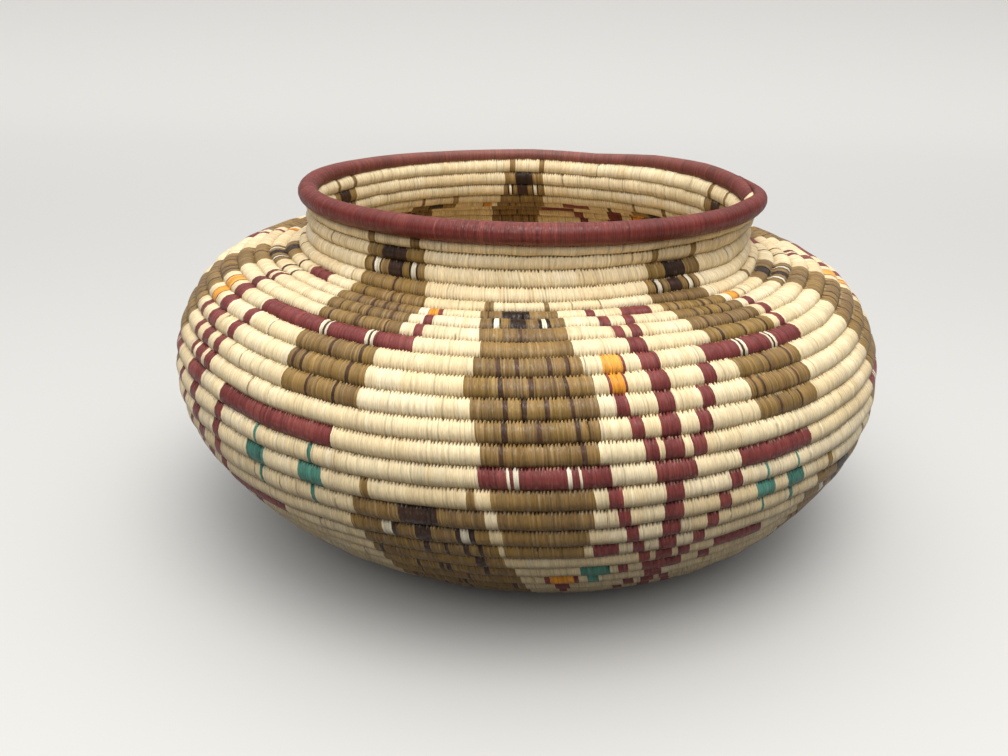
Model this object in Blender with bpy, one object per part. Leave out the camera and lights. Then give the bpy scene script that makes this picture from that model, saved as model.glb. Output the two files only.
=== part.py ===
"""Basket jar: one long fibre bundle, coiled from a knot at the base to a thick rim.

The bundle is wound as one spiral along the wall line, which is the path of the coil
centres in section. Each full turn of the bundle is an object, and every turn is cut
at the same side of the jar, where the light wrapping ends and the dark rim begins.
"""

import math

import bmesh
import bpy

MM = 0.001

# The wall line, from the middle of the floor to the mouth, as a flat and five bends
# that run on from each other. Each angle is the line's slope at the end of its bend:
# 0 is outwards, 90 is straight up and 180 is inwards.
floor_radius = 92.5 * MM
foot_bend_radius = 112.0 * MM
foot_slope = math.radians(50.5)
lower_wall_bend_radius = 197.5 * MM
lower_wall_slope = math.radians(59.0)
belly_bend_radius = 66.0 * MM
belly_slope = math.radians(108.0)
shoulder_bend_radius = 55.5 * MM
shoulder_slope = math.radians(178.0)
throat_bend_radius = 24.5 * MM
mouth_slope = math.radians(60.0)

# The coil: the turns that it has made where the rim starts, the spacing of its top
# rows, over how many rows it thins to that, and how thick it is through the wall. The
# spacing of the other rows follows, because the turns fill the wall line.
turns_to_rim = 39
neck_row_pitch = 7.6 * MM
thinning_rows = 15.0
body_coil_thickness = 10.4 * MM
neck_coil_thickness = 8.2 * MM
groove_share = 0.55

# The rim: the last turn starts as thick as the row under it, swells, and ends in a
# tail that lies on its own start.
rim_thickness = 11.4 * MM
rim_tip_thickness = 2.6 * MM
rim_swell_start = 0.25
rim_swell_end = 0.52
rim_taper_start = 0.90
rim_tail = 0.083

# The seam where the turns are cut, measured from the side that faces the camera, and
# how far the floor lies off the mouth's centre, because the jar was coiled by hand.
seam_angle = math.radians(85.0)
floor_offset = 11.5 * MM

# What touches keeps this clear of its neighbour.
contact_gap = 0.3 * MM

# A row that lies on the floor is worn flat over this share of its width.
worn_flat_share = 0.45

# Facets round one turn, and the radius under which half as many are enough.
turn_facets = 32
small_turn_radius = 70.0 * MM
knot_facets = 16


def wall_bends():
    """The wall line's parts, as (start distance, radius, height, slope, curvature, length)."""
    parts = [(floor_radius, 0.0)]
    slope = 0.0
    for radius, end_slope in (
        (foot_bend_radius, foot_slope),
        (lower_wall_bend_radius, lower_wall_slope),
        (belly_bend_radius, belly_slope),
        (shoulder_bend_radius, shoulder_slope),
        (throat_bend_radius, mouth_slope),
    ):
        turned = end_slope - slope
        parts.append((abs(turned) * radius, math.copysign(1.0 / radius, turned)))
        slope = end_slope
    # Past the mouth the line runs straight on, which is where the rim stands.
    parts.append((2.0 * rim_thickness, 0.0))
    placed = []
    start, radius, height, slope = 0.0, 0.0, body_coil_thickness / 2, 0.0
    for length, curvature in parts:
        placed.append((start, radius, height, slope, curvature, length))
        radius, height, slope = along_bend(radius, height, slope, curvature, length)
        start += length
    return placed


def along_bend(radius, height, slope, curvature, distance):
    """The point and slope this far along a bend that starts at the one given."""
    turned = slope + curvature * distance
    if curvature == 0.0:
        return (
            radius + distance * math.cos(slope),
            height + distance * math.sin(slope),
            slope,
        )
    return (
        radius + (math.sin(turned) - math.sin(slope)) / curvature,
        height - (math.cos(turned) - math.cos(slope)) / curvature,
        turned,
    )


BENDS = wall_bends()
WALL_LENGTH = BENDS[-1][0]
MOUTH_HEIGHT = BENDS[-1][2]


def on_wall(distance, outwards):
    """(radius, height) of a point beside the wall line, on the jar's outer side if outwards > 0."""
    bend = [part for part in BENDS if part[0] <= distance or part[0] == 0.0][-1]
    start, radius, height, slope, curvature, _ = bend
    radius, height, slope = along_bend(
        radius, height, slope, curvature, distance - start
    )
    return radius + outwards * math.sin(slope), height - outwards * math.cos(slope)


TOP_EDGE = turns_to_rim + 0.5
BODY_ROW_PITCH = (WALL_LENGTH - neck_row_pitch * thinning_rows / 2) / (
    TOP_EDGE - thinning_rows / 2
)


def row_edge(turns):
    """Distance along the wall line of the edge between two rows, after this many turns.

    The row that is at turn t lies between the edges at t - 0.5 and t + 0.5. From the
    mouth down, the pitch grows evenly over the thinning rows and is then constant.
    """
    rows = TOP_EDGE - turns
    thin = min(rows, thinning_rows)
    growth = (BODY_ROW_PITCH - neck_row_pitch) * thin * thin / (2 * thinning_rows)
    return WALL_LENGTH - neck_row_pitch * thin - growth - BODY_ROW_PITCH * (rows - thin)


def coil_thickness(turn):
    """Thickness through the wall at this point of the bundle, which thins towards the mouth."""
    share = min(max(TOP_EDGE - turn, 0.0) / thinning_rows, 1.0)
    return neck_coil_thickness + share * (body_coil_thickness - neck_coil_thickness)


def eased(value, start, end):
    """0 before start, 1 after end, and a smooth step between them."""
    share = min(max((value - start) / (end - start), 0.0), 1.0)
    return share * share * (3.0 - 2.0 * share)


def rim_size(turn):
    """Height and thickness of the rim's coil at this point of the bundle."""
    wound = turn - turns_to_rim
    row_height = row_edge(TOP_EDGE) - row_edge(TOP_EDGE - 1.0) - contact_gap
    swell = eased(wound, rim_swell_start, rim_swell_end)
    taper = eased(wound, rim_taper_start, 1.0 + rim_tail)
    height = row_height + swell * (rim_thickness - row_height)
    width = neck_coil_thickness + swell * (rim_thickness - neck_coil_thickness)
    return (
        height + taper * (rim_tip_thickness - height),
        width + taper * (rim_tip_thickness - width),
    )


def row_section(turn, worn_flat):
    """A row's section, as (distance, outwards) points: flats to its neighbours, ridges between."""
    low = row_edge(turn - 0.5) + contact_gap / 2
    high = row_edge(turn + 0.5) - contact_gap / 2
    middle = (low + high) / 2
    half = coil_thickness(turn) / 2
    groove = groove_share * half
    if worn_flat:
        reach = worn_flat_share * (high - low) / 2
        outer = [(middle - reach, half), (middle + reach, half)]
    else:
        outer = [(middle, half)]
    return (
        [(low, groove)]
        + outer
        + [(high, groove), (high, -groove), (middle, -half), (low, -groove)]
    )


def rim_section(turn):
    """The rim's section: an octagon that stands on the edge of the row under it."""
    low = row_edge(turn - 0.5) + contact_gap / 2
    height, width = rim_size(turn)
    middle = low + height / 2
    corner = math.tan(math.pi / 8)
    return [
        (middle + along * height / 2, out * width / 2)
        for along, out in (
            (-1, corner),
            (-corner, 1),
            (corner, 1),
            (1, corner),
            (1, -corner),
            (corner, -1),
            (-corner, -1),
            (-1, -corner),
        )
    ]


def placed(radius, height, angle):
    """The point at this radius and height, this far round from the seam."""
    climb = max(height - body_coil_thickness, 0.0)
    low = max(1.0 - climb / (MOUTH_HEIGHT - body_coil_thickness), 0.0)
    round_jar = seam_angle + angle
    return (
        radius * math.sin(round_jar) + floor_offset * low**5,
        -radius * math.cos(round_jar),
        height,
    )


def section_loop(mesh, section, turn, pull):
    """The edges of one section, at this turn of the bundle, pulled back from the cut end."""
    middle = sum(distance for distance, _ in section) / len(section)
    angle = 2 * math.pi * turn + pull * contact_gap / 2 / on_wall(middle, 0.0)[0]
    corners = [
        mesh.verts.new(placed(*on_wall(distance, outwards), angle))
        for distance, outwards in section
    ]
    return [
        mesh.edges.new((a, b)) for a, b in zip(corners, corners[1:] + corners[:1])
    ]


def loft(name, sections):
    """A closed coil through the sections, which are (turn, section) pairs."""
    mesh = bmesh.new()
    loops = []
    for index, (turn, section) in enumerate(sections):
        pull = 1 if index == 0 else -1 if index == len(sections) - 1 else 0
        loops.append(section_loop(mesh, section, turn, pull))
    for lower, upper in zip(loops, loops[1:]):
        bmesh.ops.bridge_loops(mesh, edges=lower + upper)
    for end in (loops[0], loops[-1]):
        bmesh.ops.contextual_create(mesh, geom=end)
    bmesh.ops.recalc_face_normals(mesh, faces=mesh.faces)
    data = bpy.data.meshes.new(name)
    mesh.to_mesh(data)
    mesh.free()
    return bpy.data.objects.new(name, data)


def turn_at(first, last, facets):
    """Turns from first to last, evenly, with the given number of facets to a full turn."""
    steps = max(round((last - first) * facets), 1)
    return [first + (last - first) * step / steps for step in range(steps + 1)]


def row_name(turn):
    """Which part of the jar a turn belongs to, from the wall line's slope at its middle."""
    distance = row_edge(turn + 0.5)
    bend = [part for part in BENDS if part[0] <= distance][-1]
    slope = bend[3] + bend[4] * (distance - bend[0])
    if bend[4] < 0.0:
        return "neck"
    for name, end in (("floor", 12.0), ("foot", 58.0), ("belly", 122.0)):
        if slope < math.radians(end):
            return name
    return "shoulder"


def make_row(turn):
    facets = turn_facets
    if row_edge(turn - 0.5) < small_turn_radius:
        facets = turn_facets // 2
    on_floor = row_edge(turn + 1.5) < floor_radius
    sections = [
        (at, row_section(at, on_floor)) for at in turn_at(turn, turn + 1, facets)
    ]
    return loft(f"{row_name(turn)}_coil_{turn:02d}", sections)


def make_rim():
    full = turn_at(turns_to_rim, turns_to_rim + 1, turn_facets)
    tail = turn_at(turns_to_rim + 1, turns_to_rim + 1 + rim_tail, turn_facets)[1:]
    return loft("rim_coil", [(at, rim_section(at)) for at in full + tail])


def make_start_knot():
    """The first wraps, pulled into a tight button that the first full turn winds round."""
    outline = bpy.data.curves.new("start_knot", "CURVE")
    outline.dimensions = "2D"
    outline.fill_mode = "BOTH"
    outline.extrude = body_coil_thickness / 2
    spline = outline.splines.new("POLY")
    spline.points.add(knot_facets)
    for step, point in enumerate(spline.points):
        radius = row_edge(0.5 + step / knot_facets) - contact_gap / 2
        angle = 2 * math.pi * step / knot_facets
        if step == knot_facets:
            angle -= contact_gap / radius
        point.co = (*placed(radius, 0.0, angle)[:2], 0.0, 1.0)
    spline.use_cyclic_u = True
    knot = bpy.data.objects.new("start_knot", outline)
    knot.location.z = body_coil_thickness / 2
    return knot


FINISHES = {
    "start": ((0.74, 0.62, 0.40), 0.60),
    "floor": ((0.76, 0.65, 0.43), 0.60),
    "foot": ((0.33, 0.24, 0.13), 0.55),
    "belly": ((0.80, 0.70, 0.48), 0.55),
    "shoulder": ((0.77, 0.66, 0.44), 0.55),
    "neck": ((0.82, 0.73, 0.52), 0.55),
    "rim": ((0.26, 0.06, 0.07), 0.42),
}


def finish(piece):
    """The piece's own material: light palm, brown-dyed palm or dark red-dyed palm."""
    colour, roughness = FINISHES[piece.name.split("_")[0]]
    material = bpy.data.materials.new(piece.name)
    material.use_nodes = True
    shader = material.node_tree.nodes["Principled BSDF"]
    shader.inputs["Base Color"].default_value = (*colour, 1.0)
    shader.inputs["Roughness"].default_value = roughness
    shader.inputs["Metallic"].default_value = 0.0
    piece.data.materials.append(material)


def build():
    for old in list(bpy.data.objects):
        bpy.data.objects.remove(old, do_unlink=True)
    jar = bpy.data.collections.new("basket_jar")
    bpy.context.scene.collection.children.link(jar)
    pieces = [make_start_knot()]
    pieces += [make_row(turn) for turn in range(1, turns_to_rim)]
    pieces.append(make_rim())
    for piece in pieces:
        jar.objects.link(piece)
        finish(piece)


build()
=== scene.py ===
import math

import bmesh
import bpy
import numpy as np
from mathutils import Matrix, Vector


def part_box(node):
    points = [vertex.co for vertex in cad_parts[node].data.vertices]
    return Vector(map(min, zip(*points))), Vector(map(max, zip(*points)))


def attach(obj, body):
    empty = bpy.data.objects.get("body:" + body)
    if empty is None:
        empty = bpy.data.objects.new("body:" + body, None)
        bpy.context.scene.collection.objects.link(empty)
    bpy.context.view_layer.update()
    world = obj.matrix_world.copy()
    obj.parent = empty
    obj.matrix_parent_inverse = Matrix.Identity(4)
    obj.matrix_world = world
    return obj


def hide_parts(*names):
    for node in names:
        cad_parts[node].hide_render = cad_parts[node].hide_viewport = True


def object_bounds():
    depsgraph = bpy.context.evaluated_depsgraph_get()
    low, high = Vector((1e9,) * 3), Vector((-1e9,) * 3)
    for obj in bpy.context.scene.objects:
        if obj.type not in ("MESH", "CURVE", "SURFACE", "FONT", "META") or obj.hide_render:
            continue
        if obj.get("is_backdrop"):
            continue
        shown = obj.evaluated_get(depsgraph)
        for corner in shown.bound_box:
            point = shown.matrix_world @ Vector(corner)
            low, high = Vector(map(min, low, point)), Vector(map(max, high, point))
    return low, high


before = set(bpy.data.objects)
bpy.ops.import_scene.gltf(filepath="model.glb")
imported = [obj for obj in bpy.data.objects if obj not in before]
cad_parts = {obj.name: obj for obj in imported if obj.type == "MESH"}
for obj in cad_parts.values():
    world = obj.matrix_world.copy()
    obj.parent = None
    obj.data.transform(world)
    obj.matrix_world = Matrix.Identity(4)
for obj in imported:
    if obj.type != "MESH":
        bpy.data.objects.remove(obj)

CAD_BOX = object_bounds()
MM = 0.001

# The wall line, as in the CAD: the length of the floor's flat, and then each bend's
# radius in millimetres and the slope at its end in degrees.
FLOOR_RADIUS = 92.5
BENDS = ((112.0, 50.5), (197.5, 59.0), (66.0, 108.0), (55.5, 178.0), (24.5, 60.0))

# The coil, as in the CAD, in millimetres and turns.
TURNS_TO_RIM = 39
NECK_PITCH = 7.6
THINNING_ROWS = 15.0
BODY_THICKNESS = 10.4
NECK_THICKNESS = 8.2
RIM_THICKNESS = 11.4
RIM_TIP = 2.6
SEAM_ANGLE = 85.0
# How far the floor's middle stands aside of the mouth's, and the power by which that fades.
FLOOR_OFFSET = 11.5
FLOOR_OFFSET_FADE = 5
# Between which of its turns the rim swells, and between which it thins out to its tail.
RIM_SWELL = (0.25, 0.52)
RIM_TAPER = (0.92, 1.05)
# How much stouter the rim is at its start, and the turns where that is full and over.
RIM_STOUT = 2.2
RIM_STOUT_FULL = 0.06
RIM_STOUT_OVER = 0.22

# The wraps: how wide the palm strips are along the coil, how deep the valleys between
# them are, and how far their tops poke up over the groove as teeth with notches between,
# in millimetres. They lean, and the rows don't all have the same width of strip, nor the
# valleys the same depth.
WRAP_WIDTH = 1.64
RIM_WRAP_WIDTH = 1.05
WIDTH_RANGE = (0.93, 1.07)
FEWEST_WRAPS = 16
WRAP_LEAN = math.radians(6.0)
VALLEY_DEPTH = 0.055
VALLEY_RANGE = (0.0, 2.0)
RIM_VALLEY_DEPTH = 0.10
RIM_VALLEY_RANGE = (0.4, 1.6)
NOTCH_DEPTH = 0.6
TOOTH_HEIGHT = 0.5
# How far a row's lower edge reaches down behind the teeth of the row under it.
LAP = 0.3
# How deep the rows are tucked in between each other, as a share of half the thickness.
TUCK = 0.34
# How uneven the wraps are: their places, as a share of a wrap, how far they stand out on
# the rows and on the rim, their teeth, all in millimetres, and the slope of their lean.
PLACE_SPREAD = 0.09
PROUD_SPREAD = 0.015
RIM_PROUD_SPREAD = 0.02
TOOTH_SPREAD = 0.22
LEAN_SPREAD = 0.03
# How much thicker and thinner the bundle in them is here and there, in millimetres.
BUNDLE_SPREAD = 0.14
# It varies in waves, so many of them, and between so many a turn.
BUNDLE_WAVES = 6
WAVES_A_TURN = (9.0, 40.0)
# The jar is uneven, probably because it was woven by eye. Its mouth is higher at the
# right-hand back, and lower at the left and in front: (degrees round the jar, lift in
# millimetres) at the mouth's height, none at SHOULDER_HEIGHT, and above the mouth no more
# than MOST_LIFT of that.
MOUTH_LIFT = (
    (-180, 1.8), (-165, 0.8), (-150, -0.1), (-120, -1.0), (-95, -0.8), (-75, -1.0),
    (-50, -0.9), (0, -0.6), (30, -0.9), (50, -1.1), (70, -0.1), (85, 1.0),
    (100, 2.3), (120, 3.9), (140, 3.9), (160, 1.4),
)
SHOULDER_HEIGHT = 165.0
MOST_LIFT = 1.2
# Nearer to the axis than this, in millimetres, the wraps' lean doesn't turn them further.
LEAST_RADIUS = 4.0
# How far the mouth stands aside, at these millimetres from the rim down along the wall.
MOUTH_ASIDE = ((0, 1.8), (7, 0.8), (14, -0.4), (22, 0.0))
# Its neck and shoulder aren't round: how far they are drawn in, in millimetres, with a line
# for each of these distances from the rim, and a place in it for each of these degrees.
DRAWN_ANGLES = (-180, -130, -100, -75, -45, 0, 45, 65, 80, 95, 120)
DRAWN_IN = (
    (12, (0,) * 11),
    (20, (0, 0.4, 0.6, 0.6, 0.0, 0, 0.0, 0.5, 1.0, 1.2, 0.5)),
    (28, (0, 1.6, 2.4, 2.4, 0.4, 0, 0.4, 2.6, 4.2, 4.6, 2.0)),
    (38, (0, 1.6, 2.4, 2.4, 0.4, 0, 0.5, 3.2, 5.0, 5.6, 3.0)),
    (48, (0, 0.5, 0.8, 0.6, 0.0, 0, 0.0, 1.0, 2.2, 5.6, 3.0)),
    (57, (0, 0.0, 0.0, 0.0, 0.0, 0, 0.0, 0.6, 1.6, 5.4, 2.0)),
    (66, (0, -0.8, -1.2, -0.4, 0.0, 0, 0.0, 0.4, 1.2, 4.8, 1.0)),
    (75, (0, -1.5, -2.5, -0.8, 0.0, 0, 0.0, 0.2, 0.8, 2.6, -0.6)),
    (88, (0, -1.5, -2.8, -0.8, 0.0, 0, 0.0, 0.0, 0.0, -0.4, -1.2)),
    (104, (0, -0.8, -1.2, -0.3, 0.0, 0, 0.0, 0.0, 0.0, 0.0, 0.0)),
    (125, (0,) * 11),
)
# Its rows don't climb evenly either: how far they sag in millimetres, with a line for each
# of these rows, counted from the rim, and a place in it for each of these degrees. These
# numbers weren't chosen by hand: another program matched a render with the photograph.
SAG_ANGLES = (-105, -80, -65, -50, -35, -20, -5, 10, 25, 40, 55, 70, 85)
SAG = (
    (1, (0, -2.9, -1.6, -0.5, -0.2, -0.5, -0.7, -0.5, -0.8, -2.4, -2.7, -2.1, 0)),
    (2, (0, -2.2, -1.5, -0.9, -0.5, -1.2, -1.3, -1.4, -2.0, -2.6, -3.1, -3.2, 0)),
    (3, (0, 2.2, 0.8, 0.0, 0.1, -0.3, -0.3, -0.8, -1.3, -0.4, 0.6, -2.2, 0)),
    (4, (0, 1.8, 1.0, 0.8, 1.1, 1.7, 1.9, 1.3, 0.4, 0.9, 2.2, -0.2, 0)),
    (5, (0, 0.1, -1.4, -1.1, 0.7, 2.1, 0.7, -0.6, -1.2, 0.5, 0.6, -1.5, 0)),
    (6, (0, 1.9, -1.0, -2.5, -0.3, 2.6, -1.3, -3.1, -2.7, 0.7, -0.9, -3.2, 0)),
    (7, (0, 0.2, -0.6, -0.7, 1.7, 2.0, 0.3, -2.4, -1.6, 0.6, -0.9, -2.2, 0)),
    (8.5, (0, -0.1, -1.2, -1.1, 0.3, 1.9, 1.2, -0.8, -0.4, 0.4, 0.5, -1.4, 0)),
    (10, (0, 1.5, -0.2, -1.2, 0.4, 1.7, 1.3, 0.1, -0.6, 0.4, 0.7, -1.0, 0)),
    (12, (0, 0.7, -0.3, -0.8, 1.0, 2.4, 1.3, -0.1, 0.3, 1.4, 1.1, -0.4, 0)),
    (14, (0, 1.5, -2.4, -2.1, 0.6, 1.4, 0.2, -0.5, 0.9, 1.2, 0.4, 0.0, 0)),
    (16, (0, 0.0, -0.9, -2.4, -0.3, 0.8, -0.2, -0.6, -0.8, -0.5, -0.2, 0.0, 0)),
    (18, (0, -1.0, -1.1, 1.9, 2.3, 2.0, 0.2, 0.2, -1.2, -2.2, 1.4, 0.5, 0)),
    (22, (0,) * 13),
)
# Each wrap has three stations along the row: the valley before it and its two edges.
STATIONS = 3
STATION_PLACES = np.array([0.0, 0.36, 0.66])

random = np.random.default_rng(7)


def linear(red, green, blue):
    """A colour in linear light, from its usual 0 to 255 numbers."""
    return tuple(
        (c / 255 / 12.92) if c < 11 else ((c / 255 + 0.055) / 1.055) ** 2.4
        for c in (red, green, blue)
    )


# Each dye's tones. A strip of palm gives a few wraps before the next one starts, and
# every strip took the dye in its own way.
DYES = {
    "cream": (
        (230, 209, 167), (233, 214, 174), (227, 204, 160),
        (232, 211, 170), (229, 207, 164), (234, 216, 179),
    ),
    "brown": (
        (138, 109, 61), (133, 104, 60), (142, 112, 64),
        (128, 101, 60), (138, 109, 57), (124, 97, 59),
    ),
    "smoke": ((72, 50, 34), (82, 58, 40)),
    "black": ((52, 34, 24), (60, 40, 29), (44, 29, 20)),
    "maroon": ((122, 59, 55), (115, 54, 51), (128, 65, 60), (120, 57, 54)),
    "rim": ((114, 49, 43), (108, 45, 39), (120, 54, 47), (113, 48, 42)),
    "orange": ((226, 150, 50), (232, 163, 68)),
    "teal": ((78, 130, 114), (70, 120, 106), (86, 139, 123)),
    "white": ((236, 225, 199), (231, 219, 190)),
}
DYE_NAMES = list(DYES)
TONES = {name: np.array([linear(*tone) for tone in tones]) for name, tones in DYES.items()}
# How often a wrap starts a new strip, and how often one is a stray of another tone. The
# strips' tones are drawn from a number that each dye's count of tones divides.
NEW_STRIP = 0.12
STRAY_WRAP = 0.07
TONE_DRAWS = 60
# How uneven the tones are, on the rows and on the rim. Dyed strips are more uneven than
# plain ones, and the strands of a wrap more than the wraps.
ROW_WANDER = 0.022
RIM_WANDER = 0.025
PLAIN_UNEVEN = 1.2
DYED_UNEVEN = 2.8
STRAND_UNEVEN = 1.8
DARKEST = 0.4
# How often a brown strand gets a painted highlight, a glint painted as paler colour, and how much
# of it.
PAINTED_GLINT_OFTEN = 0.25
PAINTED_GLINT_RANGE = (0.02, 0.14)
# How often a tooth has pale fibre at its tip, and how much.
PALE_TEETH = 0.5
PALE_SHARE = 0.4
# Painted shade in the valleys: how much darker a valley is painted at most, how light it is
# painted at the row's lower edge, and how light the rim's valleys are painted at least and at
# most.
VALLEY_LINE_PAINTED_SHADE = 0.4
FOOT_PAINTED_SHADE = 0.4
RIM_VALLEY_PAINTED_SHADE = (0.6, 0.95)
# How much painted light the rim's dye gets at the back, and how much lighter and paler that makes
# it.
RIM_BACK_PAINTED_LIGHT = 0.09
PAINTED_LIGHT_LIGHTER = 2.2
PAINTED_LIGHT_PALER = 0.8


def eased(value, start, end):
    """0 before start, 1 after end, and a smooth step between them."""
    share = np.clip((value - start) / (end - start), 0.0, 1.0)
    return share * share * (3.0 - 2.0 * share)


def wall_line():
    """The wall line as arrays of distance, radius, height and slope, in millimetres."""
    lengths, slopes = [0.0, FLOOR_RADIUS], [0.0, 0.0]
    for radius, slope in BENDS:
        turned = math.radians(slope) - slopes[-1]
        lengths.append(lengths[-1] + abs(turned) * radius)
        slopes.append(math.radians(slope))
    end = lengths[-1]
    lengths.append(end + 3 * RIM_THICKNESS)
    slopes.append(slopes[-1])
    distance = np.linspace(0.0, lengths[-1], 8001)
    slope = np.interp(distance, lengths, slopes)
    step = distance[1]
    run, rise = np.cos(slope), np.sin(slope)
    radius = np.concatenate([[0.0], np.cumsum(run[1:] + run[:-1]) * step / 2])
    height = np.concatenate([[0.0], np.cumsum(rise[1:] + rise[:-1]) * step / 2])
    return distance, radius, height + BODY_THICKNESS / 2, slope, end


DISTANCE, RADIUS, HEIGHT, SLOPE, WALL_LENGTH = wall_line()
MOUTH_HEIGHT = np.interp(WALL_LENGTH, DISTANCE, HEIGHT)
TOP_EDGE = TURNS_TO_RIM + 0.5
BODY_PITCH = (WALL_LENGTH - NECK_PITCH * THINNING_ROWS / 2) / (TOP_EDGE - THINNING_ROWS / 2)


def row_edge(turns):
    """Distance along the wall line of the edge between two rows, after this many turns."""
    rows = TOP_EDGE - turns
    thin = np.minimum(rows, THINNING_ROWS)
    growth = (BODY_PITCH - NECK_PITCH) * thin * thin / (2 * THINNING_ROWS)
    return WALL_LENGTH - NECK_PITCH * thin - growth - BODY_PITCH * (rows - thin)


def looked_up(table, angles, place, angle):
    """The numbers of a table at these places between its lines and at these angles."""
    columns = np.array([np.interp(angle, angles, line, period=360.0) for _, line in table])
    place = np.interp(place, [at for at, _ in table], np.arange(len(table)))
    line = np.minimum(place.astype(int), len(table) - 2)
    share = place - line
    station = np.arange(len(place))
    return (1.0 - share) * columns[line, station] + share * columns[line + 1, station]


def groove(turns, row):
    """Distance along the wall line of this row's edge, with the sag that SAG gives it."""
    down = TURNS_TO_RIM - np.floor(row) - (turns - row)
    return row_edge(turns) - looked_up(SAG, SAG_ANGLES, down, SEAM_ANGLE + 360.0 * row)


def half_thickness(turns):
    """Half of the coil's thickness through the wall."""
    share = np.clip((TOP_EDGE - turns) / THINNING_ROWS, 0.0, 1.0)
    return (NECK_THICKNESS + share * (BODY_THICKNESS - NECK_THICKNESS)) / 2


def placed(distance, outwards, turns, aside=0.0):
    """Points in metres, from how far along and out of the wall line they are.

    Turns is how far along the coil, and aside a few millimetres more round the jar.
    """
    slope = np.interp(distance, DISTANCE, SLOPE)
    radius = np.interp(distance, DISTANCE, RADIUS)
    angle = math.radians(SEAM_ANGLE) + 2 * math.pi * turns
    angle = angle + aside / np.maximum(radius, LEAST_RADIUS)
    degrees = np.degrees(angle)
    down = WALL_LENGTH - distance
    drawn_in = looked_up(DRAWN_IN, DRAWN_ANGLES, down, degrees)
    radius = radius + outwards * np.sin(slope) - drawn_in
    height = np.interp(distance, DISTANCE, HEIGHT) - outwards * np.cos(slope)
    climb = np.maximum(height - BODY_THICKNESS, 0.0)
    low = np.maximum(1.0 - climb / (MOUTH_HEIGHT - BODY_THICKNESS), 0.0)
    floor_aside = FLOOR_OFFSET * low**FLOOR_OFFSET_FADE
    mouth_aside = np.interp(down, *zip(*MOUTH_ASIDE))
    lift = np.interp(degrees, *zip(*MOUTH_LIFT), period=360.0)
    high = (height - SHOULDER_HEIGHT) / (MOUTH_HEIGHT - SHOULDER_HEIGHT)
    height = height + lift * np.clip(high, 0.0, MOST_LIFT)
    across = radius * np.sin(angle) + floor_aside + mouth_aside
    return MM * np.stack([across, -radius * np.cos(angle), np.maximum(height, 0.0)], -1)


# The pattern. Each bar is (row, start, end, dye), with the pattern's rows counted from
# the rim down and its bars in degrees round the jar from the middle of their figure.
# Where bars lie over each other, the later one shows.


def bars(row, dye, *pairs):
    """Bars of one dye in one row, each from its start and end."""
    return [(row, start, end, dye) for start, end in pairs]


def dark_marks(half, *rows):
    """Single dark strips, half so wide to each side: each row's number, and its marks."""
    return [(row, mark - half, mark + half, "smoke") for row, *marks in rows for mark in marks]


HORNED_ROWS = (2, 3, 4, 5, 6, 7, 8, 10, 11, 12)
LEFT_EDGES = (
    (-7.2, 8.2), (-7.9, 8.3), (-7.6, 9.1), (-8.3, 10.0), (-9.0, 10.2),
    (-7.9, 9.6), (-7.0, 9.3), (-6.9, 7.3), (-6.7, 6.8), (-6.3, 6.2),
)
RIGHT_EDGES = (
    (-6.0, 10.8), (-7.8, 8.6), (-8.7, 8.0), (-8.3, 9.3), (-8.5, 9.5),
    (-8.5, 9.1), (-7.6, 8.6), (-7.0, 7.8), (-6.9, 7.2), (-6.7, 6.7),
)


def horned_figure(ears, edges, belt, ticks, bar, beads, extra):
    """The figure under the neck, with its belt, the long bar under it and the teal beads.

    Edges are the two sides of each of its rows, and belt the belt's two ends. Bar is
    where the bar starts, ticks where the belt's pairs of white strips do, and beads where
    the left string of beads hangs in each row. Extra is what else goes with it, as bars.
    """
    figure = bars(1, "brown", *ears)
    for row, edge in zip(HORNED_ROWS, edges):
        figure += bars(row, "brown", edge)
    middle = (edges[0][0] + edges[0][1]) / 2
    figure += bars(2, "black", (middle - 3.4, middle + 3.4))
    figure += bars(3, "black", (-5.6, -5.0), (-3.7, -3.1), (-1.2, 2.7), (4.4, 5.0), (6.0, 6.6))
    figure += bars(3, "white", (-5.0, -3.7), (5.0, 6.0))
    figure += dark_marks(
        0.25,
        (4, 1.4),
        (5, -4.6, 2.4, 4.8),
        (6, -3.4, 0.2, 3.0, 5.6),
        (7, -4.6, 1.4, 6.2),
        (8, -4.6, 0.9, 6.6),
        (10, -0.2, 5.0),
        (11, -5.6, -4.0, 4.0),
        (12, -2.0, 2.6),
    )
    figure += bars(9, "maroon", belt)
    for tick in ticks:
        figure += bars(9, "smoke", (tick + 0.4, tick + 1.1))
        figure += bars(9, "white", (tick, tick + 0.5), (tick + 1.0, tick + 1.5))
    figure += bars(14, "maroon", (bar, 2.8))
    top, middle, low = beads
    figure += bars(15, "teal", (top, top + 0.5), (-1.0, -0.5))
    figure += bars(16, "teal", (middle, middle + 3.6), (-3.1, 0.8))
    figure += bars(17, "teal", (low, low + 0.6), (-2.0, -1.3))
    return figure + extra


def sprig(row, edges, stems):
    """A small sprig: white, orange and maroon between these edges, and its stems under it."""
    found = []
    for start, end, dye in zip(edges[:-1], edges[1:], ("white", "orange", "maroon")):
        found += bars(row, dye, (start, end))
    for under, stem in enumerate(stems):
        found += bars(row + 1 + under, "maroon", stem)
    return found


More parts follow.
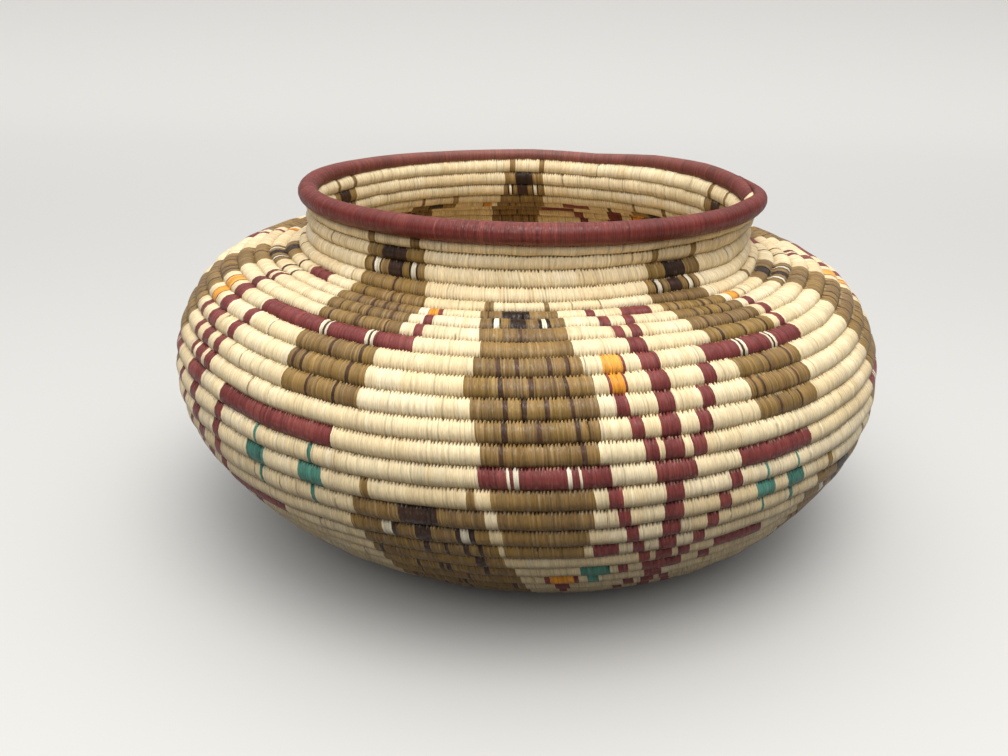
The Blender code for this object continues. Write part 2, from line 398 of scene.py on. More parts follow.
def tall_figure(ears, head, wide):
    """The figure on the belly, whose body is broken by dark marks and belted in maroon.

    Head is how far its top two rows stand aside, and wide how wide they are.
    """
    figure = bars(4, "brown", *ears)
    figure += bars(5, "brown", (head - 7.2 * wide, head + 7.1 * wide))
    figure += bars(6, "brown", (head - 6.6 * wide, head + 7.7 * wide))
    for row, left, right in (
        (7, -6.1, 7.7),
        (8, -5.4, 8.2),
        (9, -5.8, 9.0),
        (10, -6.8, 10.4),
        (11, -5.6, 10.6),
        (12, -4.7, 10.7),
        (13, -3.9, 10.6),
        (15, -2.6, 10.1),
        (16, -1.9, 10.0),
        (17, -1.4, 9.8),
        (18, -1.4, 9.3),
    ):
        figure += bars(row, "brown", (left, right))
    figure += dark_marks(
        0.3,
        (7, 0.3),
        (9, -2.5, 0.1, 4.6, 7.0),
        (10, -1.9, 2.1, 6.7),
        (11, -1.1, 1.3, 4.2, 7.3),
        (12, -1.1, 3.1, 8.0),
        (13, -1.4, 8.6),
    )
    face = bars(5, "black", (-3.2, 1.7))
    face += bars(6, "black", (-4.6, -4.2), (-3.4, -3.0), (-1.5, 1.2), (3.2, 3.7), (4.6, 5.3))
    face += bars(6, "white", (-4.2, -3.4), (3.7, 4.6))
    for row, start, end, dye in face:
        figure += bars(row, dye, (head + start * wide, head + end * wide))
    figure += bars(14, "maroon", (-4.1, 12.1))
    figure += bars(14, "white", (-0.75, -0.3), (0.25, 0.75), (6.75, 7.2), (8.05, 8.5))
    return figure


def crouching_figure():
    """The spotted figure low on the jar, which runs down under its foot."""
    figure = bars(16, "brown", (-7.3, -6.2), (6.6, 7.6))
    figure += bars(17, "brown", (-8.8, 8.7))
    figure += bars(17, "black", (-2.3, 2.7))
    figure += bars(18, "brown", (-10.0, 10.1))
    figure += bars(18, "white", (-5.3, -4.0), (5.4, 6.5))
    figure += bars(18, "black", (-4.0, -3.4), (-0.7, 1.5), (4.8, 5.4), (6.5, 7.1))
    right_edge = (10.7, 11.6, 12.1, 12.4, 12.8, 13.2, 13.7, 14.2, 14.8, 15.4)
    for step, right in enumerate(right_edge):
        row, left = 19 + step, -9.0 + 0.12 * step
        figure += bars(row, "brown", (left, right))
        for spot in random.uniform(left + 1.0, right - 1.5, 3):
            figure += bars(row, "black", (spot, spot + random.uniform(0.3, 0.7)))
    figure += bars(19, "black", (-0.3, 0.6))
    for row in (20, 21):
        figure += bars(row, "black", (7.0, 7.9))
    return figure


def arm(first, last, start, step, width):
    """A maroon arm or stem of a plant, which moves along by one step in each row."""
    return [
        (row, start + step * (row - first), start + step * (row - first) + width, "maroon")
        for row in range(first, last + 1)
    ]


def plant(low_bar):
    """The lower part of the branching plant, down to its root, and the bar at its right."""
    figure = bars(14, "maroon", (-2.6, 2.9))
    figure += arm(15, 19, -8.5, 1.35, 1.6)
    figure += arm(15, 19, -1.2, 0.15, 2.6)
    figure += arm(15, 19, 8.0, -1.25, 1.9)
    figure += bars(18, "maroon", (-9.9, -6.4))
    figure += bars(19, "maroon", low_bar)
    figure += bars(20, "teal", (-11.3, -6.9)) + bars(21, "teal", (-10.0, -8.4))
    figure += bars(20, "maroon", (-5.6, -4.1), (-1.9, 4.4), (7.4, 9.4))
    figure += bars(21, "maroon", (-16.6, -11.4), (-0.9, 2.1))
    figure += bars(21, "orange", (-15.8, -12.2))
    figure += bars(22, "maroon", (-15.2, -12.8)) + bars(23, "maroon", (-14.6, -13.4))
    figure += arm(22, 25, -3.8, -1.4, 1.8)
    figure += arm(22, 25, -0.8, 0.1, 2.4)
    figure += arm(22, 25, 2.6, 1.4, 1.8)
    return figure


def plant_top():
    """The upper part of the plant in front, with an orange bud at its left."""
    figure = arm(5, 8, -8.1, 1.5, 1.8) + arm(6, 7, -2.1, -0.1, 1.8)
    figure += bars(5, "maroon", (-1.3, 5.0))
    figure += bars(8, "maroon", (-3.7, -0.9))
    figure += bars(9, "maroon", (-5.6, -5.1), (-2.9, 0.0))
    figure += bars(9, "orange", (-8.5, -5.6))
    figure += bars(10, "maroon", (-8.0, -7.6), (-5.8, -5.4), (-2.2, 0.5))
    figure += bars(10, "orange", (-7.6, -5.8))
    figure += arm(11, 13, -7.4, 1.7, 1.8)
    figure += arm(11, 13, -1.9, 0.2, 2.6)
    figure += arm(10, 13, 5.7, -1.15, 2.0)
    return figure


def slim_plant_top():
    """The upper part of the other plants, whose highest arms are single dark strips."""
    figure = bars(5, "smoke", (-4.9, -3.9)) + bars(5, "maroon", (2.2, 10.2))
    figure += bars(6, "smoke", (-5.9, -5.1), (-0.9, -0.1))
    figure += bars(7, "maroon", (-4.1, -2.3), (-1.4, 0.2))
    figure += bars(8, "maroon", (-3.5, -0.3))
    figure += bars(9, "maroon", (-10.1, -9.6), (-6.2, -5.8), (-3.5, 0.0))
    figure += bars(9, "orange", (-9.6, -6.2))
    figure += bars(10, "maroon", (-9.2, -8.7), (-6.3, -5.8), (-3.2, 0.1), (6.4, 8.7))
    figure += bars(10, "orange", (-8.7, -6.3))
    figure += bars(11, "maroon", (-8.5, -6.3), (-3.2, 0.6), (5.3, 7.3))
    figure += bars(12, "maroon", (-5.3, -3.5), (-1.3, 1.3), (3.6, 5.6))
    figure += bars(13, "maroon", (-3.8, -2.2), (-1.0, 1.8), (2.8, 4.8))
    return figure


def laid(figure, middle, drift, width, at_row):
    """A figure's bars round this middle in at_row, which drifts on in every row under it."""
    found = []
    for row, start, end, dye in figure:
        here = middle + drift * (row - at_row)
        found += bars(row, dye, (here + width * start, here + width * end))
    return found


# The row in which each kind of figure has its middle.
HORNED_MIDDLE, TALL_MIDDLE, LOW_MIDDLE = 2, 9, 18


def horned_figures():
    """For each of the horned figures its middle, its drift, its width and its bars."""
    ears, far_ears = ((-7.0, -4.9), (4.6, 6.9)), ((-4.5, -2.3), (8.3, 10.6))
    low_sprig = sprig(6, (10.2, 11.9, 13.7, 14.4), ((12.2, 13.8), (11.4, 13.0)))
    high_sprig = sprig(5, (9.2, 11.4, 14.2, 14.7), ((11.5, 13.9), (11.4, 13.6), (10.5, 12.2)))
    # The one at the back, seen from inside, has its belt at one side only.
    unbelted = high_sprig + bars(9, "brown", (-7.5, 8.2))
    wide, close, back = (-10.6, -12.9, -11.4), (-7.7, -9.5, -8.4), (-9.4, -11.6, -10.2)
    left, right = LEFT_EDGES, RIGHT_EDGES
    placings = (
        (-31.0, 0.27, 1.0, ears, left, (-19.4, 12.4), (-4.2, 4.4), -18.6, wide, low_sprig),
        (31.8, 0.60, 0.87, far_ears, right, (-11.3, 12.4), (-4.0, 3.6), -12.2, close, high_sprig),
        (-253.5, 0.30, 0.85, ears, left, (-17.0, 12.4), (-4.2, 4.2), -16.0, back, low_sprig),
        (-178.4, 0.20, 0.82, ears, left, (-17.5, -7.5), (), -17.5, back, unbelted),
        (-108.6, 0.30, 0.80, ears, left, (-18.0, 12.4), (-4.2, 4.4), -18.2, back, low_sprig),
    )
    for middle, drift, width, *details in placings:
        yield middle, drift, width, horned_figure(*details)


def chart():
    """Every bar of the pattern, as (row, start, end, dye) in degrees from the jar's front.

    The pattern goes round five times. Each figure leans a little its own way, as the
    weaver laid it, so it has a middle and a drift for each row.
    """
    upright, leaning = ((-6.9, -5.1), (4.5, 5.6)), ((-10.4, -8.6), (1.0, 2.1))
    tall = (
        (-1.4, 0.0, tall_figure(upright, 0.0, 1.0)),
        (68.3, 0.0, tall_figure(leaning, -1.6, 1.12)),
        (-219.0, 0.1, tall_figure(upright, 0.0, 1.0)),
        (-149.0, 0.2, tall_figure(upright, 0.0, 1.0)),
        (-78.0, -0.2, tall_figure(upright, 2.5, 1.0)),
    )
    low = ((-13.5, 0.0), (54.9, 0.1), (-231.0, 0.0), (-158.0, 0.1), (-86.0, 0.1))
    front = (18.9, 0.0)
    # The other plants' tops stand aside of their roots by the third number.
    others = ((-56.4, 0.1, 0.0), (88.0, 0.2, 2.0), (-200.0, 0.1, 0.0), (-127.0, 0.1, 0.0))
    found = []
    for middle, drift, width, figure in horned_figures():
        found += laid(figure, middle, drift, width, HORNED_MIDDLE)
    for middle, drift in low:
        found += laid(crouching_figure(), middle, drift, 1.0, LOW_MIDDLE)
    found += laid(plant((8.9, 17.9)) + plant_top(), *front, 1.0, TALL_MIDDLE)
    for middle, drift, aside in others:
        found += laid(plant((5.0, 18.4)), middle, drift, 1.0, TALL_MIDDLE)
        found += laid(slim_plant_top(), middle + aside, drift, 1.0, TALL_MIDDLE)
    for middle, drift, figure in tall:
        found += laid(figure, middle, drift, 1.0, TALL_MIDDLE)
    return found


CHART = chart()
# Where the pattern's rows step down by one row of the coil, in degrees, down to this row
# and under it.
STEP_ROW = 15
STEP_OVER, STEP_UNDER = -9.0, -4.4


def dyes_of(row, angles):
    """The dye's index of each wrap of this turn of the coil, from its angles in degrees."""
    down = TURNS_TO_RIM - row
    step = STEP_OVER if down <= STEP_ROW else STEP_UNDER
    pattern_row = np.where(angles < step, down, down - 1)
    dye = np.zeros(len(angles), int)
    for bar_row, start, end, name in CHART:
        if bar_row not in (down - 1, down):
            continue
        middle, half = (start + end) / 2, (end - start) / 2
        away = (angles - middle + 180.0) % 360.0 - 180.0
        dye[(pattern_row == bar_row) & (np.abs(away) <= half)] = DYE_NAMES.index(name)
    return dye


def strand_colours(dyes, wander):
    """Each strand's linear colour: its dye's tone on that strip, a little lighter or darker."""
    wraps = -(-len(dyes) // STATIONS)
    wrap = np.arange(len(dyes)) // STATIONS
    strip = np.cumsum(random.random(wraps) < NEW_STRIP)
    pick = random.integers(0, TONE_DRAWS, strip[-1] + 1)[strip][wrap]
    stray = random.random(wraps)[wrap] < STRAY_WRAP
    pick = np.where(stray, pick + 1, pick)
    colours = np.empty((len(dyes), 3))
    for index, name in enumerate(DYE_NAMES):
        chosen = dyes == index
        tones = TONES[name]
        colours[chosen] = tones[pick[chosen] % len(tones)]
    uneven = np.where(dyes == DYE_NAMES.index("cream"), PLAIN_UNEVEN, DYED_UNEVEN)
    whole = random.normal(0.0, wander, wraps)[wrap]
    single = random.normal(0.0, STRAND_UNEVEN * wander, len(dyes))
    colours *= np.maximum(1.0 + uneven * (whole + single), DARKEST)[:, None]
    # Painted highlight: some brown strands are painted paler, as glints.
    glint_shown = (dyes == DYE_NAMES.index("brown")) & (random.random(len(dyes)) < PAINTED_GLINT_OFTEN)
    painted_glint = np.where(glint_shown, random.uniform(*PAINTED_GLINT_RANGE, len(dyes)), 0.0)
    return colours + painted_glint[:, None] * (TONES["cream"][0] - colours)


# A row's section, from the bottom of its outer face round to the bottom of its inner
# face: share of the row's height, share of the bulge, side, whether it is the teeth's
# edge, and how light the dye is painted there: painted shade in the tucked edges, a
# painted highlight on the teeth and painted light on the inner face.
OUTER, INNER = 1, -1
SECTION = (
    (0.00, 0.00, OUTER, False, 0.30),
    (0.07, 0.36, OUTER, False, 0.78),
    (0.21, 0.80, OUTER, False, 0.97),
    (0.46, 1.00, OUTER, False, 1.0),
    (0.70, 0.92, OUTER, False, 1.0),
    (0.90, 0.58, OUTER, False, 1.03),
    (1.00, 0.34, OUTER, True, 1.1),
    (1.00, 0.30, INNER, True, 1.1),
    (0.88, 0.66, INNER, False, 1.12),
    (0.50, 1.00, INNER, False, 1.12),
    (0.16, 0.70, INNER, False, 0.98),
    (0.00, 0.00, INNER, False, 0.45),
)
# How light the notches between the teeth are painted, as painted shade, at either side of the
# wall.
NOTCH_PAINTED_SHADE = {OUTER: 0.03, INNER: 0.4}


def as_data(mesh, name):
    """This bmesh as smooth mesh data."""
    for face in mesh.faces:
        face.smooth = True
    data = bpy.data.meshes.new(name)
    mesh.to_mesh(data)
    mesh.free()
    return data


def linked(name, data):
    """A new object of the scene with this data."""
    made = bpy.data.objects.new(name, data)
    bpy.context.scene.collection.objects.link(made)
    return made


def tube(name, corners, stations):
    """A closed tube as a mesh, whose vertex number is corner * stations + station."""
    mesh = bmesh.new()
    bmesh.ops.create_grid(mesh, x_segments=stations - 1, y_segments=corners, size=1.0)
    mesh.verts.ensure_lookup_table()
    seam = {mesh.verts[corners * stations + i]: mesh.verts[i] for i in range(stations)}
    bmesh.ops.weld_verts(mesh, targetmap=seam)
    bmesh.ops.holes_fill(mesh, edges=[e for e in mesh.edges if e.is_boundary], sides=0)
    bmesh.ops.reverse_faces(mesh, faces=mesh.faces)
    return as_data(mesh, name)


def dress(data, stations, points, strand_colour, painted_shade, along, around, fleck=None):
    """Moves the tube's vertices to their places and gives its corners their dye.

    Painted shade is how light each vertex is painted, and fleck how much of the pale fibre shows
    there.
    Along and around are each station's and each corner's place on the strip.
    """
    data.vertices.foreach_set("co", points.astype(np.float32).ravel())
    vertex = np.empty(len(data.loops), np.int32)
    data.loops.foreach_get("vertex_index", vertex)
    first = np.empty(len(data.polygons), np.int32)
    data.polygons.foreach_get("loop_start", first)
    count = np.empty(len(data.polygons), np.int32)
    data.polygons.foreach_get("loop_total", count)
    corner, station = vertex // stations, vertex % stations
    lowest = np.minimum.reduceat(station, first)
    strand = np.minimum(np.repeat(lowest, count), len(strand_colour) - 1)
    colour = np.ones((len(vertex), 4), np.float32)
    colour[:, :3] = strand_colour[strand]
    if fleck is not None:
        pale = fleck.ravel()[vertex][:, None]
        colour[:, :3] += pale * (TONES["cream"][0] - colour[:, :3])
    colour[:, :3] *= painted_shade.ravel()[vertex][:, None]
    dyed = data.color_attributes.new("dye", "FLOAT_COLOR", "CORNER")
    dyed.data.foreach_set("color", colour.ravel())
    strip = data.uv_layers.new(name="strip")
    # The last corner's faces close the tube, so their far side is one full round on.
    last = np.maximum.reduceat(corner, first)
    closing = np.repeat(last == len(around) - 2, count) & (corner == 0)
    place = np.stack([along[station], np.where(closing, around[-1], around[corner])], 1)
    strip.uv.foreach_set("vector", place.astype(np.float32).ravel())
    data.update()


def wobble(turns):
    """How much thicker the coil's bundle is in each place of its way, in millimetres."""
    waves = random.uniform(*WAVES_A_TURN, BUNDLE_WAVES)
    starts = random.uniform(0.0, 2 * math.pi, BUNDLE_WAVES)
    total = sum(np.sin(2 * math.pi * wave * turns + start) for wave, start in zip(waves, starts))
    return BUNDLE_SPREAD * total / 1.7


def stations_along(wraps):
    """Each station's wrap, which of the wrap's stations it is, and its share of the way."""
    number = np.arange(wraps * STATIONS + 1)
    kind = number % STATIONS
    share = (number // STATIONS + STATION_PLACES[kind]) / wraps
    return np.minimum(number // STATIONS, wraps - 1), kind, share


def stitched_row(turn):
    """One turn of the coil with its wraps, whose tops stand over the groove as teeth."""
    radius = np.interp(row_edge(turn + 0.5), DISTANCE, RADIUS)
    width = WRAP_WIDTH * random.uniform(*WIDTH_RANGE)
    wraps = max(int(round(2 * math.pi * radius / width)), FEWEST_WRAPS)
    wrap, kind, share = stations_along(wraps)
    stations = len(share)
    share[1:-1] += random.normal(0.0, PLACE_SPREAD, stations - 2) / wraps
    turns = turn + share
    low, high = groove(turns - 0.5, turns), groove(turns + 0.5, turns)
    half = half_thickness(turns)
    tucked = TUCK * half
    valley = kind == 0
    depth = VALLEY_DEPTH * random.uniform(*VALLEY_RANGE, stations)
    proud = np.where(valley, -depth, 0.0)
    proud += random.normal(0.0, PROUD_SPREAD, stations) + wobble(turns)
    reach = np.where(valley, -NOTCH_DEPTH, TOOTH_HEIGHT)
    reach = reach + random.normal(0.0, TOOTH_SPREAD, stations)
    # Painted shade: only a few of the valleys are painted much darker than the wraps.
    line = np.where(valley, 1.0 - VALLEY_LINE_PAINTED_SHADE * random.random(stations) ** 6, 1.0)
    pale = (random.random(wraps)[wrap] < PALE_TEETH) & (kind == 1)
    slant = math.tan(WRAP_LEAN) + random.normal(0.0, LEAN_SPREAD, wraps)[wrap]
    points = np.empty((len(SECTION), stations, 3))
    painted_shade = np.empty((len(SECTION), stations))
    fleck = np.zeros((len(SECTION), stations))
    around = [0.0]
    for index, (up, bulge, side, toothed, light) in enumerate(SECTION):
        distance = low + up * (high - low)
        if toothed:
            distance = distance + reach
            bulge = np.where(valley, 0.0, bulge)
            # The notches between the teeth are painted dark, as painted shade.
            light = light * np.where(valley, NOTCH_PAINTED_SHADE[side], 1.0)
            fleck[index] = np.where(pale, PALE_SHARE, 0.0)
        if up == 0.0:
            distance = distance - LAP
        out = tucked + bulge * (half - tucked) + proud
        lean = -side * slant * (up - 0.5) * (high - low)
        points[index] = placed(distance, side * out, turns, lean)
        # Painted shade: darker where the row tucks under and in the valleys at its lower edge.
        painted_shade[index] = light * line * np.where(valley & (up < 0.1), FOOT_PAINTED_SHADE, 1.0)
        if index:
            step = np.linalg.norm(points[index] - points[index - 1], axis=1).mean()
            around.append(around[-1] + float(step))
    around.append(around[-1] + 2 * float(tucked.mean()) * MM)
    middle = (share[:-1] + share[1:]) / 2
    dyes = dyes_of(turn, SEAM_ANGLE - 360.0 + 360.0 * middle)
    colours = strand_colours(dyes, ROW_WANDER)
    data = tube(f"wraps_{turn:02d}", len(SECTION), stations)
    places = points.reshape(-1, 3)
    dress(data, stations, places, colours, painted_shade, turns * wraps, np.array(around) / MM, fleck)
    return linked(data.name, data)


RIM_CORNERS = 16


def wrapped_rim():
    """The rim: a fatter coil in fine maroon wraps, whose tail lies on its own start."""
    length = RIM_TAPER[1]
    radius = np.interp(WALL_LENGTH, DISTANCE, RADIUS)
    wraps = int(round(length * 2 * math.pi * radius / RIM_WRAP_WIDTH))
    _, kind, share = stations_along(wraps)
    stations = len(share)
    turns = TURNS_TO_RIM + share * length
    wound = turns - TURNS_TO_RIM
    low = row_edge(turns - 0.5)
    row_height = row_edge(TOP_EDGE) - row_edge(TOP_EDGE - 1.0)
    swell = eased(wound, *RIM_SWELL)
    taper = eased(wound, *RIM_TAPER)
    height = row_height + swell * (RIM_THICKNESS - row_height)
    width = NECK_THICKNESS + swell * (RIM_THICKNESS - NECK_THICKNESS)
    stout = RIM_STOUT * eased(wound, -RIM_STOUT_FULL, RIM_STOUT_FULL)
    stout = stout * (1.0 - eased(wound, RIM_STOUT_FULL, RIM_STOUT_OVER))
    height, width = height + stout, width + stout
    height = height + taper * (RIM_TIP - height)
    width = width + taper * (RIM_TIP - width)
    valley = kind == 0
    depth = RIM_VALLEY_DEPTH * random.uniform(*RIM_VALLEY_RANGE, stations)
    proud = np.where(valley, -depth, 0.0)
    proud += random.normal(0.0, RIM_PROUD_SPREAD, stations)
    points = np.empty((RIM_CORNERS, stations, 3))
    for index in range(RIM_CORNERS):
        angle = math.radians(-90.0 + 360.0 * index / RIM_CORNERS)
        distance = low + height / 2 + (height / 2 + proud) * math.sin(angle)
        out = (width / 2 + proud) * math.cos(angle)
        lean = -math.tan(WRAP_LEAN) * math.sin(angle) * height / 2 * math.cos(angle)
        points[index] = placed(distance, out, turns, lean)
    colours = strand_colours(np.full(stations - 1, DYE_NAMES.index("rim")), RIM_WANDER)
    # Painted light: the rim's back is painted lighter and paler.
    behind = -np.cos(2 * math.pi * wound[1:] + math.radians(SEAM_ANGLE))
    painted_light = RIM_BACK_PAINTED_LIGHT * np.maximum(behind, 0.0)[:, None]
    pale = PAINTED_LIGHT_PALER * painted_light * (TONES["white"][0] - colours)
    colours = colours * (1.0 + PAINTED_LIGHT_LIGHTER * painted_light) + pale
    # Painted shade in the rim's valleys.
    line = np.where(valley, random.uniform(*RIM_VALLEY_PAINTED_SHADE, stations), 1.0)
    painted_shade = np.tile(line, (RIM_CORNERS, 1))
    around = np.arange(RIM_CORNERS + 1) / RIM_CORNERS * math.pi * RIM_THICKNESS
    data = tube("rim_wraps", RIM_CORNERS, stations)
    places = points.reshape(-1, 3)
    dress(data, stations, places, colours, painted_shade, turns * wraps / length, around)
    return linked(data.name, data)


def start_button():
    """The start knot: the first wraps, pulled into a button that the first turn winds round."""
    mesh = bmesh.new()
    bmesh.ops.create_uvsphere(mesh, u_segments=24, v_segments=12, radius=1.0)
    low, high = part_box("start_knot")
    middle, size = (low + high) / 2, (high - low) / 2
    # It is a little wider than its solid, so that the first turn presses on it.
    wider = 1.05
    bmesh.ops.scale(mesh, vec=(size.x * wider, size.y * wider, size.z), verts=mesh.verts)
    bmesh.ops.translate(mesh, vec=middle, verts=mesh.verts)
    data = as_data(mesh, "start_wraps")
    dyed = data.color_attributes.new("dye", "FLOAT_COLOR", "CORNER")
    colour = np.tile((*TONES["cream"][0], 1.0), len(data.loops)).astype(np.float32)
    dyed.data.foreach_set("color", colour)
    data.uv_layers.new(name="strip")
    return linked(data.name, data)


class Socket:
    """A number from a shader node, so that sums of them can be written as Python sums."""

    def __init__(self, tree, socket):
        self.tree, self.socket = tree, socket

    def sum(self, operation, first, second):
        """What a Math node makes of two numbers."""
        return self.tree.node("ShaderNodeMath", {"operation": operation}, {0: first, 1: second})

    def __add__(self, other):
        return self.sum("ADD", self, other)

    __radd__ = __add__

    def __mul__(self, other):
        return self.sum("MULTIPLY", self, other)

    __rmul__ = __mul__


class Tree:
    """The nodes of a material or the world."""

    def __init__(self, owner):
        owner.use_nodes = True
        self.owner = owner
        owner.node_tree.nodes.clear()

    def node(self, kind, settings=None, inputs=None, output=0):
        """A node from its type, its settings and its sockets' values or links."""
        made = self.owner.node_tree.nodes.new(kind)
        for key, value in (settings or {}).items():
            setattr(made, key, value)
        for key, value in (inputs or {}).items():
            if isinstance(value, Socket):
                self.owner.node_tree.links.new(value.socket, made.inputs[key])
            else:
                made.inputs[key].default_value = value
        return Socket(self, made.outputs[output]) if len(made.outputs) else None

    def ranged(self, value, start, end, low, high):
        """The value, with start to end turned into low to high and no further."""
        limits = {"From Min": start, "From Max": end, "To Min": low, "To Max": high}
        return self.node("ShaderNodeMapRange", {}, {"Value": value, **limits})


def palm(name, sheen, coat, streak):
    """Split palm, dyed: fine fibres run along each strip, and some of them catch the light.

    Sheen is its least roughness and coat its coat's least weight, and streak how much
    lighter the light fibres are than the dark ones.
    """
    tree = Tree(bpy.data.materials.new(name))
    dye = tree.node("ShaderNodeAttribute", {"attribute_name": "dye"})
    strip = tree.node("ShaderNodeUVMap", {"uv_map": "strip"})
    along = tree.node("ShaderNodeSeparateXYZ", {}, {0: strip}, "X")
    around = tree.node("ShaderNodeSeparateXYZ", {}, {0: strip}, "Y")

    def fibres(across, down, detail):
        """Noise that is so fine across the strips, and so fine down along them."""
        place = tree.node("ShaderNodeCombineXYZ", {}, {0: along * across, 1: around * down})
        return tree.node(
            "ShaderNodeTexNoise",
            {"noise_dimensions": "2D"},
            {"Vector": place, "Scale": 1.0, "Detail": detail, "Roughness": 0.6},
        )

    fine = fibres(3.2, 0.25, 2.0)
    wide = fibres(0.9, 0.05, 2.0)
    patch = fibres(0.07, 0.03, 1.0)
    tone = (1.0 - streak / 2 + fine * streak) * (0.88 + wide * 0.24) * (0.88 + patch * 0.24)
    shaded = tree.node("ShaderNodeVectorMath", {"operation": "SCALE"}, {0: dye, "Scale": tone})
    bump = tree.node(
        "ShaderNodeBump",
        {},
        {"Strength": 0.7, "Distance": 0.18 * MM, "Height": fine * 0.8 + wide * 0.4},
    )
    roughness = tree.ranged(fibres(2.1, 0.3, 1.0), 0.35, 0.65, sheen, sheen + 0.3)
    gloss = tree.ranged(fibres(1.5, 0.4, 2.0), 0.5, 0.72, coat, coat + 0.6)
    shader = tree.node(
        "ShaderNodeBsdfPrincipled",
        {},
        {
            "Base Color": shaded,
            "Roughness": roughness,
            "Specular IOR Level": 0.2,
            "Coat Weight": gloss,
            "Coat Roughness": 0.25,
            "Normal": bump,
        },
    )
    tree.node("ShaderNodeOutputMaterial", {}, {"Surface": shader})
    return tree.owner


# The paper's colour near the jar and far behind it, and the one that the jar sees.
PAPER_NEAR, PAPER_FAR, PAPER_UNSEEN = (196, 195, 192), (232, 230, 226), (42, 35, 26)
# How far behind the jar it starts to bend up, the bend's radius, and how far behind the
# jar the near colour ends and the far one starts, in metres.
PAPER_BEND_AT, PAPER_BEND = 1.6, 1.2
PAPER_DEPTHS = (0.4, 2.6)


def paper_material():
    """Pale paper, which throws only a little light up under the jar."""
    tree = Tree(bpy.data.materials.new("pale_paper"))
    kinds = ("Is Camera Ray", "Is Glossy Ray", "Is Transmission Ray")
    seen = sum(tree.node("ShaderNodeLightPath", output=kind) for kind in kinds)
    place = tree.node("ShaderNodeTexCoord", output="Object")
    depth = tree.node("ShaderNodeSeparateXYZ", inputs={0: place}, output="Y")
    behind = tree.node(
        "ShaderNodeMapRange",
        {"interpolation_type": "SMOOTHSTEP"},
        {"Value": depth, "From Min": PAPER_DEPTHS[0], "From Max": PAPER_DEPTHS[1]},
    )
    near, far, unseen = ((*linear(*c), 1.0) for c in (PAPER_NEAR, PAPER_FAR, PAPER_UNSEEN))
    mixed = {"data_type": "RGBA"}
    paper = tree.node("ShaderNodeMix", mixed, {0: behind, 6: near, 7: far}, 2)
    shown = tree.node("ShaderNodeMix", mixed, {0: seen, 6: unseen, 7: paper}, 2)
    shader = tree.node(
        "ShaderNodeBsdfPrincipled",
        {},
        {"Base Color": shown, "Roughness": 0.9, "Specular IOR Level": 0.1},
    )
    tree.node("ShaderNodeOutputMaterial", {}, {"Surface": shader})
    return tree.owner


def backdrop():
    """A pale floor that curves up into a pale wall behind."""
    mesh = bmesh.new()
    bmesh.ops.create_grid(mesh, x_segments=8, y_segments=80, size=4.0)
    for vert in mesh.verts:
        past = vert.co.y - PAPER_BEND_AT
        if past > 0.0:
            angle = min(past / PAPER_BEND, math.pi / 2)
            straight = past - angle * PAPER_BEND
            vert.co.y = PAPER_BEND_AT + PAPER_BEND * math.sin(angle)
            vert.co.z = PAPER_BEND * (1.0 - math.cos(angle)) + straight
    sweep = linked("backdrop", as_data(mesh, "backdrop"))
    sweep.data.materials.append(paper_material())
    sweep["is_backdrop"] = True


# Each lamp's name, place, size in metres and power in watts. All are aimed at the jar.
LAMPS = (
    ("overhead", (0.15, -0.6, 1.5), 1.0, 9.4),
    ("front_fill", (-0.2, -1.35, 1.2), 1.2, 7.6),
)
LAMP_AIM = (0.0, 0.0, 0.1)
LAMP_COLOUR = (1.0, 0.98, 0.95)
# The world's strength low down and straight above, and how high it starts to grow, where
# the horizon is 0 and straight above is 1.
WORLD_LOW, WORLD_HIGH = 0.04, 2.1
WORLD_FROM = 0.28


def soft_light(name, place, size, power):
    """A round soft lamp."""
    lamp = bpy.data.lights.new(name, "AREA")
    lamp.shape = "DISK"
    lamp.size = size
    lamp.energy = power
    lamp.color = LAMP_COLOUR
    holder = linked(name, lamp)
    holder.location = place
    way = (Vector(place) - Vector(LAMP_AIM)).to_track_quat("Z", "Y")
    holder.rotation_euler = way.to_euler()


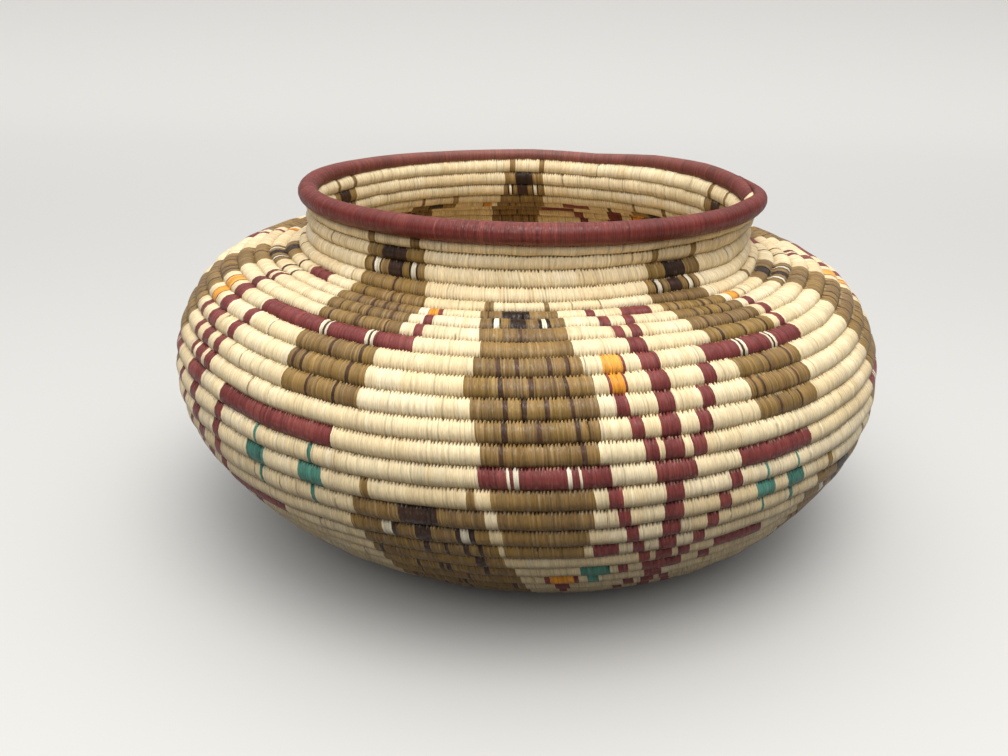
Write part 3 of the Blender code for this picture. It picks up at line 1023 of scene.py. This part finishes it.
def studio():
    """The world, which is bright above and dark at the sides and below, and the lamps."""
    tree = Tree(bpy.data.worlds.new("studio"))
    place = tree.node("ShaderNodeTexCoord", output="Generated")
    height = tree.node("ShaderNodeSeparateXYZ", inputs={0: place}, output="Z")
    strength = tree.ranged(height, WORLD_FROM, 1.0, WORLD_LOW, WORLD_HIGH)
    light = tree.node(
        "ShaderNodeBackground", {}, {"Color": (1.0, 1.0, 1.0, 1.0), "Strength": strength}
    )
    tree.node("ShaderNodeOutputWorld", {}, {"Surface": light})
    bpy.context.scene.world = tree.owner
    for lamp in LAMPS:
        soft_light(*lamp)


# The photograph's view, on a picture this many pixels wide: the focal length and the
# sideways shift in pixels, the place in metres, and the tilt and the roll in radians.
PICTURE_WIDTH = 1008.0
FOCAL, SHIFT = 1000.0, -21.9
CAMERA_PLACE = (0.0, -0.5995, 0.3094)
CAMERA_TILT, CAMERA_ROLL = 0.3692, 0.0225


def camera():
    """The camera, at the photograph's view."""
    lens = bpy.data.cameras.new("camera")
    lens.sensor_width = 36.0
    lens.lens = lens.sensor_width * FOCAL / PICTURE_WIDTH
    lens.shift_x = SHIFT / PICTURE_WIDTH
    holder = linked("camera", lens)
    tilt = Matrix.Rotation(math.pi / 2 - CAMERA_TILT, 4, "X")
    roll = Matrix.Rotation(CAMERA_ROLL, 4, "Z")
    holder.matrix_world = Matrix.Translation(CAMERA_PLACE) @ tilt @ roll
    bpy.context.scene.camera = holder


# The record's material slots, by the first word of a node's name, where it isn't plain palm.
SLOTS = {"foot": "brown_palm", "rim": "maroon_palm"}


def build():
    """Every piece, each in place of its own node."""
    palm_strip = palm("palm_strip", sheen=0.4, coat=0.0, streak=0.6)
    rim_strip = palm("rim_strip", sheen=0.36, coat=0.1, streak=0.6)
    nodes = sorted(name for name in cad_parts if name.split("_")[-1].isdigit())
    turn_node = {int(name.split("_")[-1]): name for name in nodes}
    pieces = [(start_button(), "start_knot", palm_strip)]
    for turn in range(1, TURNS_TO_RIM):
        pieces.append((stitched_row(turn), turn_node[turn], palm_strip))
    pieces.append((wrapped_rim(), "rim_coil", rim_strip))
    for piece, node, material in pieces:
        piece.data.materials.append(material)
        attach(piece, "root")
        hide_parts(node)
        SLOTS.get(node.split("_")[0], "natural_palm")


build()
backdrop()
studio()
camera()
bpy.context.scene.view_settings.view_transform = "Standard"

plain = [[list(map(float, corner)) for corner in box] for box in (CAD_BOX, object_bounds())]
